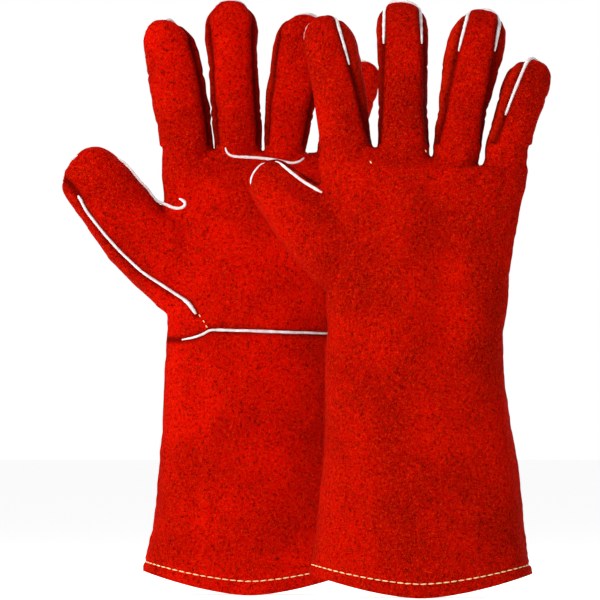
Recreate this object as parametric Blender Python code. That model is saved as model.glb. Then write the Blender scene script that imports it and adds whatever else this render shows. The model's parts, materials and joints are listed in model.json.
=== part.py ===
"""A pair of lined leather welding gauntlets, standing on their cuffs. Metres, +Z up, origin under the pair.

The right glove stands in front and shows its back; the left glove stands behind it and shows its palm.
Each glove is cut as a gunn-pattern gauntlet: a back panel in one piece from knuckles to hem, a palm panel,
a palm-side cuff panel, finger fronts and backs joined by side strips, a two-piece thumb, a soft lining and
white welts in the seams. Every digit turns on a crease on the palm side of its base.
"""

import math

import bmesh
import bpy
from mathutils import Matrix, Vector

# Driving sizes, in metres
CUFF_LENGTH = 0.158      # hem to wrist seam
PALM_LENGTH = 0.098      # wrist seam to the finger bases
HEM_RISE = 0.0145        # how far the hem climbs at the two sides
HEM_FLAT = 0.27          # share of the half width over which the hem is level
HEM_CURVE = 0.9          # exponent of the hem's climb from there to the sides
HEM_FADE = 0.3           # share of the cuff over which the hem's climb fades out
WRIST_DIP = 0.008        # the cuff is narrowest this far below the wrist seam
LEATHER = 0.0013         # split cowhide
LINING = 0.0010          # fleece and canvas lining
GAP = 0.0004             # clearance between sewn pieces
LINING_SLACK = 0.0010    # the lining hangs this far inside the leather
PAIR_SPACING = 0.145     # between the middle planes of the two gloves
RIGHT_MIDDLE_X = 0.0583  # the right glove's middle finger, across
LEFT_MIDDLE_X = -0.0452  # the left glove's middle finger, across
SIDE_STRIP_ANGLE = 30    # half the arc of a finger side strip, in degrees
SIDE_STRIP_END = 0.020   # the strip has tapered away this far below the tip
SIDE_STRIP_TAPER = 0.018 # and it narrows over this length
SIDE_STRIP_LEAST = 8     # a strip ends where its half arc is under this, in degrees
TIP_WELT_LENGTH = 0.028  # how far a tip welt runs down each side seam
WELT_RADIUS = 0.0009
THUMB_WELT_ROWS = (2, 3)       # the thumb sections where its lower and its upper welt start
THUMB_HOLE = (0.019, 0.0085)   # half height and half depth of the way into the thumb
THUMB_HOLE_LENGTH = 0.034      # the hole is cut this deep across the hand's side
THUMB_ROOT_TILT = 90           # the root section stands upright against the hand, in degrees
THUMB_TILT = 41                # the sections further out lean over by this much
THUMB_NARROWS = 1.25           # the thumb reaches its width below the tip at one over this share
FINGER_NARROWS = 1.4           # as above, for a finger
LINING_START = 0.010           # the lining stops this far above the hem
HEM_BAND = 0.010               # the first row of the cuff above the hem

ARC_STEPS = 6            # facets across half a section
SQUARENESS = 2.35        # exponent of the rounded sections
LINING_STEPS = 10        # facets round a digit's lining
STRIP_STEPS = 3          # facets across a side strip
HOLE_STEPS = 16          # facets round the thumb hole
SHARP_ANGLE = 40         # edges that turn by more than this stay sharp, in degrees
STRIP_GAP = 2.6          # clearance on each edge of a side strip, in degrees of the finger's arc
DOME_SHARE = 1.05        # a fingertip's dome is this share of its half width high
CUFF_SHARES = (0.22, 0.4, 0.56, 0.78)  # rows of the cuff between the hem band and the wrist
PALM_SHARES = (0.3, 0.5, 0.78)         # rows of the palm
FINGER_SHARES = (0, 0.25, 0.5, 0.75, 1)
THUMB_SHARES = (0, 0.2, 0.4, 0.6, 0.8, 1)
FINGER_DOME = (0.3, 0.55, 0.75, 0.9)   # where the sections of a fingertip's dome lie
THUMB_DOME = (0.35, 0.65, 0.88)
FINGER_LINING_DOME = (0.4, 0.72)
THUMB_LINING_DOME = (0.4, 0.75)

# digit: root x, tip x, tip height above the root, half width and half depth at the root and
# below the tip, all from the middle finger's line
RIGHT_FINGERS = {
    "index": dict(root=-0.0330, tip=-0.0465, length=0.0895, wide=(0.0158, 0.0155), deep=(0.0150, 0.0125)),
    "middle": dict(root=-0.0003, tip=-0.0015, length=0.0980, wide=(0.0160, 0.0151), deep=(0.0155, 0.0130)),
    "ring": dict(root=0.0305, tip=0.0475, length=0.0945, wide=(0.0143, 0.0170), deep=(0.0150, 0.0128)),
    "little": dict(root=0.0596, tip=0.0785, length=0.0645, wide=(0.0134, 0.0141), deep=(0.0135, 0.0115)),
}
LEFT_FINGERS = {
    "index": dict(root=-0.0259, tip=-0.0392, length=0.0900, wide=(0.0160, 0.0164), deep=(0.0150, 0.0125)),
    "middle": dict(root=0.0053, tip=-0.0015, length=0.1000, wide=(0.0136, 0.0152), deep=(0.0155, 0.0130)),
    "ring": dict(root=0.0318, tip=0.0450, length=0.0925, wide=(0.0124, 0.0163), deep=(0.0150, 0.0128)),
    "little": dict(root=0.0630, tip=0.0800, length=0.0640, wide=(0.0131, 0.0138), deep=(0.0135, 0.0115)),
}
FINGER_STRIPS = {"index": (1,), "middle": (-1, 1), "ring": (-1, 1), "little": (-1,)}
FINGER_CURL = 0.009      # how far a fingertip leans to the palm side
FINGER_SPREAD = 1.3      # exponent of a finger's lean to the side: over 1 it leans more near its tip

# glove edges from the hem up to the knuckles, left and right of the middle finger's line, and half the depth
RIGHT_EDGES = [
    (-0.0570, 0.0770, 0.042), (-0.0525, 0.0710, 0.039), (-0.0475, 0.0660, 0.034),
    (-0.0450, 0.0570, 0.027), (-0.0465, 0.0650, 0.022), (-0.0505, 0.0738, 0.0175),
]
LEFT_EDGES = [
    (-0.0530, 0.0760, 0.042), (-0.0465, 0.0700, 0.039), (-0.0410, 0.0660, 0.034),
    (-0.0375, 0.0600, 0.027), (-0.0380, 0.0660, 0.022), (-0.0440, 0.0770, 0.0175),
]
# height is the thumb root's above the wrist seam, and turn the share of the thumb over which its
# sections lean over
THUMBS = {
    "right": dict(height=0.0530, reach=(-0.0283, 0.0350), lean=0.010, wide=(0.0262, 0.0147),
                  deep=(0.0150, 0.0140), turn=0.8),
    "left": dict(height=0.0450, reach=(-0.0413, 0.0435), lean=0.006, wide=(0.0300, 0.0183),
                 deep=(0.0150, 0.0140), turn=0.6),
}

COLOURS = {
    "leather": ((0.55, 0.012, 0.004), 0.9),
    "leather_side": ((0.60, 0.020, 0.006), 0.9),
    "welt": ((0.82, 0.78, 0.74), 0.7),
    "lining": ((0.70, 0.62, 0.50), 0.95),
}

for old in list(bpy.data.objects):
    bpy.data.objects.remove(old)

gloves = bpy.data.collections.new("welding_gloves")
cutters = bpy.data.collections.new("cutters")
bpy.context.scene.collection.children.link(gloves)
bpy.context.scene.collection.children.link(cutters)


def make_material(name):
    colour, roughness = COLOURS[name]
    material = bpy.data.materials.new(name)
    material.use_nodes = True
    shader = material.node_tree.nodes["Principled BSDF"]
    shader.inputs["Base Color"].default_value = (*colour, 1)
    shader.inputs["Roughness"].default_value = roughness
    shader.inputs["Metallic"].default_value = 0
    return material


MATERIALS = {name: make_material(name) for name in COLOURS}


def blend(a, b, t):
    return a + (b - a) * t


def smooth(t):
    t = min(1, max(0, t))
    return t * t * (3 - 2 * t)


def rounded(half_width, half_depth, degrees):
    """A point on a rounded section: 0 is +X, 90 is the back of the hand."""
    c = math.cos(math.radians(degrees))
    s = math.sin(math.radians(degrees))
    power = 2 / SQUARENESS
    return (math.copysign(abs(c) ** power, c) * half_width,
            math.copysign(abs(s) ** power, s) * half_depth)


def angles(start, end, steps):
    return [start + (end - start) * i / steps for i in range(steps + 1)]


def add_object(name, bm, material, parent, turn_out):
    """Puts the closed mesh in the model, with its origin on its parent."""
    if turn_out:
        bmesh.ops.recalc_face_normals(bm, faces=bm.faces)
    mesh = bpy.data.meshes.new(name)
    bm.to_mesh(mesh)
    bm.free()
    obj = bpy.data.objects.new(name, mesh)
    gloves.objects.link(obj)
    if parent:
        mesh.transform(Matrix.Translation(-parent.location))
        obj.parent = parent
    mesh.materials.append(MATERIALS[material])
    mesh.shade_smooth()
    mesh.set_sharp_from_angle(angle=math.radians(SHARP_ANGLE))
    return obj


def add_shell(name, outer, inner, material, parent=None, ring=False, tip=None):
    """A wall between two lofted skins of unlike sections. tip is the outer and inner end point."""
    bm = bmesh.new()
    skins = []
    for rows in (outer, inner):
        skins.append([[bm.verts.new(p) for p in row] for row in rows])
    count = len(outer[0])
    spans = count if ring else count - 1
    for skin in skins:
        for low, high in zip(skin, skin[1:]):
            for i in range(spans):
                j = (i + 1) % count
                bm.faces.new((low[i], low[j], high[j], high[i]))
    out, ins = skins
    for i in range(spans):
        j = (i + 1) % count
        bm.faces.new((out[0][i], out[0][j], ins[0][j], ins[0][i]))
        if not tip:
            bm.faces.new((out[-1][i], out[-1][j], ins[-1][j], ins[-1][i]))
    poles = []
    if tip:
        poles = [bm.verts.new(p) for p in tip]
        for skin, pole in zip(skins, poles):
            for i in range(spans):
                bm.faces.new((skin[-1][i], skin[-1][(i + 1) % count], pole))
    if not ring:
        for side in (0, -1):
            for k in range(len(outer) - 1):
                bm.faces.new((out[k][side], out[k + 1][side], ins[k + 1][side], ins[k][side]))
            if tip:
                bm.faces.new((out[-1][side], poles[0], poles[1], ins[-1][side]))
    bmesh.ops.triangulate(bm, faces=bm.faces)
    return add_object(name, bm, material, parent, turn_out=True)


def add_cord(name, points, radius, material, parent=None):
    """A thin round cord sewn along a seam."""
    curve = bpy.data.curves.new(name, "CURVE")
    curve.dimensions = "3D"
    curve.bevel_depth = radius
    curve.bevel_resolution = 1
    curve.use_fill_caps = True
    spline = curve.splines.new("POLY")
    spline.points.add(len(points) - 1)
    for point, place in zip(spline.points, points):
        local = Vector(place) - parent.location if parent else Vector(place)
        point.co = (*local, 1)
    obj = bpy.data.objects.new(name, curve)
    gloves.objects.link(obj)
    obj.parent = parent
    curve.materials.append(MATERIALS[material])
    return obj


def add_pivot(name, place):
    pivot = bpy.data.objects.new(name, None)
    pivot.empty_display_size = 0.01
    pivot.location = place
    gloves.objects.link(pivot)
    return pivot


class Glove:
    """One gauntlet. back is -1 or +1 in Y: the way the back of the hand faces."""

    def __init__(self, side, middle_x, y, back, edges, fingers):
        self.side = side
        self.x = middle_x
        self.y = y
        self.back = back
        self.fingers = fingers
        self.knuckles = CUFF_LENGTH + PALM_LENGTH
        heights = [0, CUFF_SHARES[0] * CUFF_LENGTH, CUFF_SHARES[2] * CUFF_LENGTH, CUFF_LENGTH - WRIST_DIP,
                   CUFF_LENGTH + PALM_LENGTH / 2, self.knuckles]
        self.stations = [(z, *edge) for z, edge in zip(heights, edges)]

    def body_size(self, z):
        """Left edge, right edge and half depth of the hand and cuff at a height."""
        for low, high in zip(self.stations, self.stations[1:]):
            if z <= high[0] + 1e-9:
                t = (z - low[0]) / (high[0] - low[0])
                return tuple(blend(a, b, t) for a, b in zip(low[1:], high[1:]))
        return self.stations[-1][1:]

    def hem_height(self, degrees, z):
        """The hem climbs towards both sides; the climb fades out up the cuff."""
        across = max(0, abs(math.cos(math.radians(degrees))) - HEM_FLAT) / (1 - HEM_FLAT)
        return z + HEM_RISE * across ** HEM_CURVE * max(0, 1 - z / (HEM_FADE * CUFF_LENGTH))

    def body_row(self, z, arc, inset=0, lift=0):
        left, right, depth = self.body_size(z)
        row = []
        for degrees in arc:
            dx, dy = rounded((right - left) / 2 - inset, depth - inset, degrees)
            row.append((self.x + (left + right) / 2 + dx, self.y + self.back * (dy + lift),
                        self.hem_height(degrees, z)))
        return row

    def body_panel(self, name, heights, start, end, lift, material="leather"):
        arc = angles(start, end, ARC_STEPS * 2)
        outer = [self.body_row(z, arc, 0, lift) for z in heights]
        inner = [self.body_row(z, arc, LEATHER, lift) for z in heights]
        return add_shell(f"{self.side}_{name}", outer, inner, material)

    def hand(self):
        wrist = CUFF_LENGTH
        cuff_rows = [0, HEM_BAND, *[wrist * share for share in CUFF_SHARES]]
        palm_rows = [*[wrist + PALM_LENGTH * share for share in PALM_SHARES], self.knuckles]
        back = self.body_panel("back_panel", [*cuff_rows, wrist, *palm_rows], 0, 180, GAP / 2)
        self.body_panel("cuff_panel", [*cuff_rows, wrist - GAP], 180, 360, -GAP / 2)
        palm = self.body_panel("palm_panel", [wrist + GAP, *palm_rows], 180, 360, -GAP / 2)
        arc = angles(0, 360, ARC_STEPS * 3)[:-1]
        rows = [LINING_START, *cuff_rows[2:], wrist, *palm_rows]
        clear = LEATHER + LINING_SLACK
        lining = add_shell(f"{self.side}_hand_lining",
                           [self.body_row(z, arc, clear) for z in rows],
                           [self.body_row(z, arc, clear + LINING) for z in rows],
                           "lining", ring=True)
        hole = self.thumb_cutter()
        for piece in (back, palm, lining):
            cut = piece.modifiers.new("thumb hole", "BOOLEAN")
            cut.operation = "DIFFERENCE"
            cut.solver = "EXACT"
            cut.object = hole

    def thumb_root(self):
        """The middle of the thumb's root section, just clear of the hand's side."""
        z = CUFF_LENGTH + THUMBS[self.side]["height"]
        reach = THUMBS[self.side]["wide"][0]
        left = min(self.body_size(z + reach * share)[0] for share in (-1, -0.4, 0, 0.4, 1))
        return Vector((self.x + left - GAP, self.y, z))

    def thumb_cutter(self):
        root = self.thumb_root()
        bpy.ops.mesh.primitive_cylinder_add(vertices=HOLE_STEPS, radius=1, depth=1)
        cutter = bpy.context.object
        cutter.name = f"{self.side}_thumb_cutter"
        half_height, half_depth = THUMB_HOLE
        shape = Matrix.Diagonal((half_height, half_depth, THUMB_HOLE_LENGTH, 1))
        lay = Matrix.Rotation(math.radians(90), 4, "Y")
        cutter.data.transform(Matrix.Translation(root) @ lay @ shape)
        cutter.display_type = "WIRE"
        cutter.hide_render = True
        for home in list(cutter.users_collection):
            home.objects.unlink(cutter)
        cutters.objects.link(cutter)
        return cutter

    def finger_point(self, spec, height, degrees, inset=0, lift=0):
        """A point on a finger's skin at a height above its root."""
        top = spec["length"] - inset
        t = min(1, height / spec["length"])
        wide = blend(*spec["wide"], smooth(t * FINGER_NARROWS))
        deep = blend(*spec["deep"], t)
        dome = spec["wide"][1] * DOME_SHARE
        shrink = 1
        if height > spec["length"] - dome:
            reach = (height - (spec["length"] - dome)) / (dome - inset)
            shrink = math.sqrt(max(0, 1 - min(1, reach) ** 2))
        dx, dy = rounded((wide - inset) * shrink, (deep - inset) * shrink, degrees)
        x = self.x + blend(spec["root"], spec["tip"], t ** FINGER_SPREAD) + dx
        y = self.y - self.back * (FINGER_CURL * t * t) + self.back * (dy + lift)
        return (x, y, self.knuckles + GAP + min(height, top))

    def finger_rows(self, spec, tip_rows):
        dome = spec["wide"][1] * DOME_SHARE
        straight = spec["length"] - dome
        rows = [straight * t for t in FINGER_SHARES]
        return rows + [straight + dome * t for t in tip_rows]

    def strip_angle(self, spec, height):
        """Half the arc of the side strip, which tapers away below the tip."""
        from_tip = spec["length"] - height
        taper = smooth((from_tip - SIDE_STRIP_END) / SIDE_STRIP_TAPER)
        return SIDE_STRIP_ANGLE * taper

    def finger(self, name, spec):
        deep = spec["deep"][0]
        crease = Vector((self.x + spec["root"], self.y - self.back * deep, self.knuckles))
        pivot = add_pivot(f"{self.side}_{name}_crease", crease)
        rows = self.finger_rows(spec, FINGER_DOME)
        strips = FINGER_STRIPS[name]
        for part, middle, lift in (("back", 90, GAP / 2), ("front", 270, -GAP / 2)):
            turn = 1 if part == "back" else -1
            outer = []
            inner = []
            for height in rows:
                cut = self.strip_angle(spec, height)
                right = cut if 1 in strips else 0
                left = cut if -1 in strips else 0
                arc = angles(middle - turn * (90 - right), middle + turn * (90 - left), ARC_STEPS)
                outer.append([self.finger_point(spec, height, a, 0, lift) for a in arc])
                inner.append([self.finger_point(spec, height, a, LEATHER, lift) for a in arc])
            end = spec["length"]
            tip = (self.finger_point(spec, end, 90, 0, lift),
                   self.finger_point(spec, end, 90, LEATHER, lift))
            add_shell(f"{self.side}_{name}_{part}", outer, inner, "leather", pivot, tip=tip)
        self.side_strips(name, spec, pivot)
        self.finger_lining(name, spec, pivot)
        self.tip_welt(name, spec, pivot)

    def side_strips(self, name, spec, pivot):
        for side in FINGER_STRIPS[name]:
            middle = 0 if side == 1 else 180
            heights = [h for h in self.finger_rows(spec, ()) if self.strip_angle(spec, h) > SIDE_STRIP_LEAST]
            outer = []
            inner = []
            for height in heights:
                half = self.strip_angle(spec, height) - STRIP_GAP
                arc = angles(middle - half, middle + half, STRIP_STEPS)
                outer.append([self.finger_point(spec, height, a) for a in arc])
                inner.append([self.finger_point(spec, height, a, LEATHER) for a in arc])
            label = "outer" if side == 1 else "inner"
            add_shell(f"{self.side}_{name}_{label}_strip", outer, inner, "leather_side", pivot)

    def finger_lining(self, name, spec, pivot):
        arc = angles(0, 360, LINING_STEPS)[:-1]
        clear = LEATHER + LINING_SLACK
        rows = self.finger_rows(spec, FINGER_LINING_DOME)
        outer = [[self.finger_point(spec, h, a, clear) for a in arc] for h in rows]
        inner = [[self.finger_point(spec, h, a, clear + LINING) for a in arc] for h in rows]
        end = spec["length"]
        tip = (self.finger_point(spec, end, 90, clear), self.finger_point(spec, end, 90, clear + LINING))
        add_shell(f"{self.side}_{name}_lining", outer, inner, "lining", pivot, ring=True, tip=tip)

    def tip_welt(self, name, spec, pivot):
        """Runs up one side seam, over the tip and down the other."""
        strips = FINGER_STRIPS[name]
        stand = WELT_RADIUS + 2 * GAP
        grown = dict(spec, length=spec["length"] + stand,
                     wide=(spec["wide"][0] + stand, spec["wide"][1] + stand),
                     deep=(spec["deep"][0] + stand, spec["deep"][1] + stand))
        dome = spec["wide"][1] * DOME_SHARE
        straight = spec["length"] - dome
        start = spec["length"] - TIP_WELT_LENGTH
        heights = [start, (start + straight) / 2, straight, *[straight + dome * t for t in FINGER_DOME]]
        left = []
        right = []
        for height in heights:
            cut = self.strip_angle(spec, height)
            right.append(self.finger_point(grown, height, cut if 1 in strips else 0))
            left.append(self.finger_point(grown, height, 180 - (cut if -1 in strips else 0)))
        top = self.finger_point(grown, grown["length"], 90)
        add_cord(f"{self.side}_{name}_welt", [*left, top, *reversed(right)], WELT_RADIUS, "welt", pivot)

    def thumb_row(self, spec, t, arc, inset, lift):
        """A thumb section: upright against the hand at the root, square to the thumb further out."""
        root = self.thumb_root()
        reach = Vector((spec["reach"][0], -self.back * spec["lean"], spec["reach"][1]))
        centre = root + reach * t
        tilt = math.radians(blend(THUMB_ROOT_TILT, THUMB_TILT, smooth(t / spec["turn"])))
        across = Vector((math.cos(tilt), 0, math.sin(tilt)))
        wide = blend(*spec["wide"], smooth(t * THUMB_NARROWS)) - inset
        deep = blend(*spec["deep"], t) - inset
        return self.ring(centre, across, wide, deep, arc, lift)

    def ring(self, centre, across, wide, deep, arc, lift):
        row = []
        for degrees in arc:
            dx, dy = rounded(wide, deep, degrees)
            row.append(tuple(centre + across * dx + Vector((0, self.back * (dy + lift), 0))))
        return row

    def thumb_dome(self, spec, arc, inset, lift, steps):
        root = self.thumb_root()
        reach = Vector((spec["reach"][0], -self.back * spec["lean"], spec["reach"][1]))
        tilt = math.radians(THUMB_TILT)
        across = Vector((math.cos(tilt), 0, math.sin(tilt)))
        out = Vector((-math.sin(tilt), 0, math.cos(tilt)))
        wide = spec["wide"][1]
        deep = spec["deep"][1]
        rows = []
        for t in steps:
            shrink = math.sqrt(1 - t * t)
            centre = root + reach + out * (wide - inset) * t
            rows.append(self.ring(centre, across, (wide - inset) * shrink, (deep - inset) * shrink,
                                  arc, lift))
        end = root + reach + out * (wide - inset) + Vector((0, self.back * lift, 0))
        return rows, tuple(end)

    def thumb_skin(self, spec, arc, inset, lift, dome_steps):
        rows = [self.thumb_row(spec, t, arc, inset, lift) for t in THUMB_SHARES]
        dome, end = self.thumb_dome(spec, arc, inset, lift, dome_steps)
        return rows + dome, end

    def thumb(self, spec):
        root = self.thumb_root()
        crease = root + Vector((0, -self.back * spec["deep"][0], 0))
        pivot = add_pivot(f"{self.side}_thumb_crease", crease)
        for part, start, end, lift in (("back", 0, 180, GAP / 2), ("front", 180, 360, -GAP / 2)):
            arc = angles(start, end, ARC_STEPS)
            outer, tip_out = self.thumb_skin(spec, arc, 0, lift, THUMB_DOME)
            inner, tip_in = self.thumb_skin(spec, arc, LEATHER, lift, THUMB_DOME)
            add_shell(f"{self.side}_thumb_{part}", outer, inner, "leather", pivot, tip=(tip_out, tip_in))
        arc = angles(0, 360, LINING_STEPS)[:-1]
        clear = LEATHER + LINING_SLACK
        outer, tip_out = self.thumb_skin(spec, arc, clear, 0, THUMB_LINING_DOME)
        inner, tip_in = self.thumb_skin(spec, arc, clear + LINING, 0, THUMB_LINING_DOME)
        add_shell(f"{self.side}_thumb_lining", outer, inner, "lining", pivot, ring=True,
                  tip=(tip_out, tip_in))
        self.thumb_welt(spec, pivot)

    def thumb_welt(self, spec, pivot):
        stand = -(WELT_RADIUS + GAP)
        rows, end = self.thumb_skin(spec, (0, 180), stand, 0, THUMB_DOME)
        lower = [row[1] for row in rows[THUMB_WELT_ROWS[0]:]]
        upper = [row[0] for row in rows[THUMB_WELT_ROWS[1]:]]
        add_cord(f"{self.side}_thumb_welt", [*lower, end, *reversed(upper)], WELT_RADIUS, "welt", pivot)

    def build(self):
        self.hand()
        for name, spec in self.fingers.items():
            self.finger(name, spec)
        self.thumb(THUMBS[self.side])


Glove("right", RIGHT_MIDDLE_X, -PAIR_SPACING / 2, -1, RIGHT_EDGES, RIGHT_FINGERS).build()
Glove("left", LEFT_MIDDLE_X, PAIR_SPACING / 2, 1, LEFT_EDGES, LEFT_FINGERS).build()
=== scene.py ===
import bpy
import bmesh
import json
import math
import numpy as np
from mathutils import Matrix, Vector, noise
from mathutils.bvhtree import BVHTree


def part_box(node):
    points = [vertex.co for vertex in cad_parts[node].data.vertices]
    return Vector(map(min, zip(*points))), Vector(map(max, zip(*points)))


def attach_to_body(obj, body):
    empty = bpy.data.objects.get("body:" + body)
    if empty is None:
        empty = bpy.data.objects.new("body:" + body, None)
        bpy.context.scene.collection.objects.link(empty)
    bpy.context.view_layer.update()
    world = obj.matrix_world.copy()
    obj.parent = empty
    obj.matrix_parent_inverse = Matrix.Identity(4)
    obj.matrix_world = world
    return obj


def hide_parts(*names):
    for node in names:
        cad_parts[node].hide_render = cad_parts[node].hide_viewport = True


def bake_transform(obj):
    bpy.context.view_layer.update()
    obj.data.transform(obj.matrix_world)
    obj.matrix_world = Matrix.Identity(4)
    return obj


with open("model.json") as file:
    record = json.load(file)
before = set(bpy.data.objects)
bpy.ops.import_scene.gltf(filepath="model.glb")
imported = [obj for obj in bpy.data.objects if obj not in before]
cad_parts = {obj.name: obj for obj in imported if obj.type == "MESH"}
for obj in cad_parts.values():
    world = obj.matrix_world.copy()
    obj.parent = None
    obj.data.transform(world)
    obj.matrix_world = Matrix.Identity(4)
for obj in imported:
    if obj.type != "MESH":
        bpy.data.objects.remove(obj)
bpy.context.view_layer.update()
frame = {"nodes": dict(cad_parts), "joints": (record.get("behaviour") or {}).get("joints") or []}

# the two gloves: which way the back of the hand faces, the soft folds, the seams and the thread knots.
# places are across from the middle finger's line, and up from the floor, in metres
gloves = {
    "right": {"back": -1, "seed": 3.1, "web": (0.2640, -0.17),
              "folds": [("back", (0.004, 0.150), (0.000, 0.235), 0.012, 0.0024),
                        ("back", (0.026, 0.160), (0.022, 0.250), 0.011, -0.0026),
                        ("back", (-0.022, 0.170), (-0.012, 0.240), 0.009, -0.0014),
                        ("back", (0.046, 0.165), (0.050, 0.235), 0.013, 0.0012),
                        ("back", (0.012, 0.020), (0.004, 0.120), 0.022, 0.0020),
                        ("back", (0.052, 0.030), (0.040, 0.110), 0.014, -0.0016),
                        ("palm", (-0.030, 0.200), (0.010, 0.175), 0.007, -0.0018),
                        ("palm", (0.000, 0.225), (0.050, 0.238), 0.006, -0.0014)],
              "thumbLower": [(-0.0855, 0.2440), (-0.0815, 0.2350), (-0.0735, 0.2240), (-0.0640, 0.2120),
                             (-0.0540, 0.2000), (-0.0440, 0.1890), (-0.0330, 0.1790), (-0.0262, 0.1700)],
              "thumbUpper": [(-0.0807, 0.2616), (-0.0757, 0.2602), (-0.0688, 0.2547), (-0.0599, 0.2477),
                             (-0.0485, 0.2412)],
              "upperFace": "back",
              "pulls": [((0.0810, 0.3190), (-0.0010, -0.0015), 0.012),
                        ((0.0560, 0.3460), (-0.0012, -0.0012), 0.012)],
              "knots": [(-0.0195, 0.2590), (0.0130, 0.2660), (0.0455, 0.2580)],
              "fingerBase": [(-0.0167, 0.2690), (-0.0160, 0.2655), (-0.0130, 0.2630), (0.0000, 0.2620),
                             (0.0150, 0.2610), (0.0260, 0.2590), (0.0380, 0.2560), (0.0440, 0.2568),
                             (0.0465, 0.2600)]},
    "left": {"back": 1, "seed": 8.7, "web": (0.2660, -0.02),
             "folds": [("palm", (-0.030, 0.168), (0.012, 0.200), 0.008, -0.0014),
                       ("palm", (-0.018, 0.215), (0.030, 0.222), 0.007, -0.0010),
                       ("palm", (0.002, 0.180), (0.020, 0.245), 0.014, 0.0014),
                       ("palm", (-0.026, 0.035), (-0.024, 0.130), 0.006, -0.0016),
                       ("palm", (0.014, 0.020), (0.006, 0.120), 0.024, 0.0020),
                       ("back", (0.010, 0.150), (0.004, 0.240), 0.014, 0.0020),
                       ("back", (0.034, 0.165), (0.030, 0.245), 0.011, -0.0018)],
             "thumbLower": [(-0.0972, 0.2410), (-0.0923, 0.2309), (-0.0804, 0.2160), (-0.0704, 0.2051),
                            (-0.0585, 0.1941), (-0.0436, 0.1843), (-0.0308, 0.1760), (-0.0262, 0.1688)],
             "thumbUpper": [(-0.0726, 0.2636), (-0.0665, 0.2566), (-0.0595, 0.2477), (-0.0496, 0.2388),
                            (-0.0417, 0.2332), (-0.0381, 0.2319), (-0.0338, 0.2319), (-0.0314, 0.2349),
                            (-0.0328, 0.2374), (-0.0362, 0.2382)],
             "upperFace": "palm",
             "pulls": [((-0.0435, 0.2440), (0, -0.0120), 0.014),
                       ((-0.0420, 0.2420), (0.0032, 0), 0.013),
                       ((-0.0833, 0.2620), (0, 0.0045), 0.016),
                       ((-0.0360, 0.3400), (-0.0010, -0.0012), 0.012)],
             "knots": [(-0.0238, 0.1678), (-0.0214, 0.1644), (-0.0198, 0.1614)],
             "fingerBase": [(-0.0084, 0.2690), (-0.0079, 0.2656), (-0.0050, 0.2636), (0.0040, 0.2632),
                            (0.0159, 0.2622), (0.0226, 0.2612), (0.0315, 0.2594), (0.0345, 0.2596),
                            (0.0386, 0.2616), (0.0412, 0.2655)]},
}

# how the leather is cut and sewn, in metres
leather = {"voxel": 0.0012, "quickVoxel": 0.0018, "thickness": 0.0013, "smoothing": 6,
           "apart": 0.0013, "tipRise": 0.0012, "seamDepth": 0.0013, "seamWidth": 0.0013, "pucker": 0.0006}
lining = {"voxel": 0.0030, "inset": 0.0034, "thickness": 0.0008, "aboveHem": 0.010, "smoothing": 4}
hem = {"rise": 0.0145, "flat": 0.27, "curve": 0.9, "fade": 0.0474, "seam": 0.0085, "groove": 0.0007,
       "grooveWidth": 0.0016, "square": 1.175, "soft": 1.6}
wrist = {"fingerCut": 0.2700, "bendFrom": 0.2710, "blend": 0.034, "webDepth": 0.62, "webWidth": 0.975}
wristSeam = [(-0.0345, 0.1535), (-0.0280, 0.1547), (-0.0220, 0.1565), (-0.0179, 0.1595), (0.0018, 0.1589),
             (0.0315, 0.1579), (0.0571, 0.1571)]

thumb = {"gusset": 0.016, "drop": 0.9, "rootSlack": 0.001, "start": 0.0028, "bend": 0.0032, "lowest": 0.165,
         "highest": 0.240, "leanOver": 0.045, "leanMost": 1.2, "tipLength": 0.012, "tipCentre": 0.80}

# the closed forms that the skin is drawn over
forms = {"handSquare": 2.35, "handSides": 48, "fingerSquare": 2.25, "fingerSides": 32, "belowHem": 0.016,
         "fingerRoot": 0.014, "rootNarrow": 0.96, "fingerReach": 0.015, "indexReach": 0.030, "least": 2e-4}

# how the leather's surface moves: folds, creases behind the knuckles, gathers beside the seams; and how wide
# the painted shade along the seams is
surface = {"broadScale": 26, "broad": 0.0016, "middlingScale": 75, "middling": 0.0007, "smallScale": 260,
           "small": 0.00016, "rippleScale": 190, "foldEase": 0.010, "gatherAt": 0.0034, "gatherWidth": 0.0026,
           "creases": (0.30, 0.36, 0.62), "creaseDepth": 0.0006, "creaseWidth": 0.0013, "creaseWander": 0.003,
           "regrow": 0.010, "webFrom": 0.25, "webShare": 0.88, "paintedShadeWidth": 0.0022, "stray": 0.02}

# seam lines of the side strips: share of the half width at the finger's root and at its tip
stripLines = {
    "index": {1: (1.00, 0.36)},
    "middle": {-1: (0.98, 0.66), 1: (1.00, 0.72)},
    "ring": {-1: (0.84, 0.56), 1: (0.97, 0.78)},
    "little": {-1: (0.66, 0.30)},
}
stripTaper = 0.16       # share of the finger over which a strip closes to its tip
rowGaps = {"hand": 0.0018, "finger": 0.0008}   # heights closer than this belong to one level
stripNames = {-1: "inner", 1: "outer"}
stripFront = 0.50   # the strip's other edge, as a share of the depth towards the palm
sideNames = ("right", "left")


def newObject(name, bm):
    mesh = bpy.data.meshes.new(name)
    bm.to_mesh(mesh)
    bm.free()
    obj = bpy.data.objects.new(name, mesh)
    bpy.context.scene.collection.objects.link(obj)
    return obj


def applyModifiers(obj):
    graph = bpy.context.evaluated_depsgraph_get()
    mesh = bpy.data.meshes.new_from_object(obj.evaluated_get(graph))
    old = obj.data
    obj.modifiers.clear()
    obj.data = mesh
    bpy.data.meshes.remove(old)
    mesh.name = obj.name
    return obj


def nodePoints(*names):
    return np.array([v.co for n in names for v in frame["nodes"][n].data.vertices], float)


def sectionsOf(points, gap):
    # each level of the CAD solid as height, x range and y range
    points = points[np.argsort(points[:, 2])]
    breaks = np.where(np.diff(points[:, 2]) > gap)[0] + 1
    rows = []
    for group in np.split(points, breaks):
        rows.append([group[:, 2].mean(), group[:, 0].min(), group[:, 0].max(),
                     group[:, 1].min(), group[:, 1].max()])
    return np.array(rows)


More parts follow.
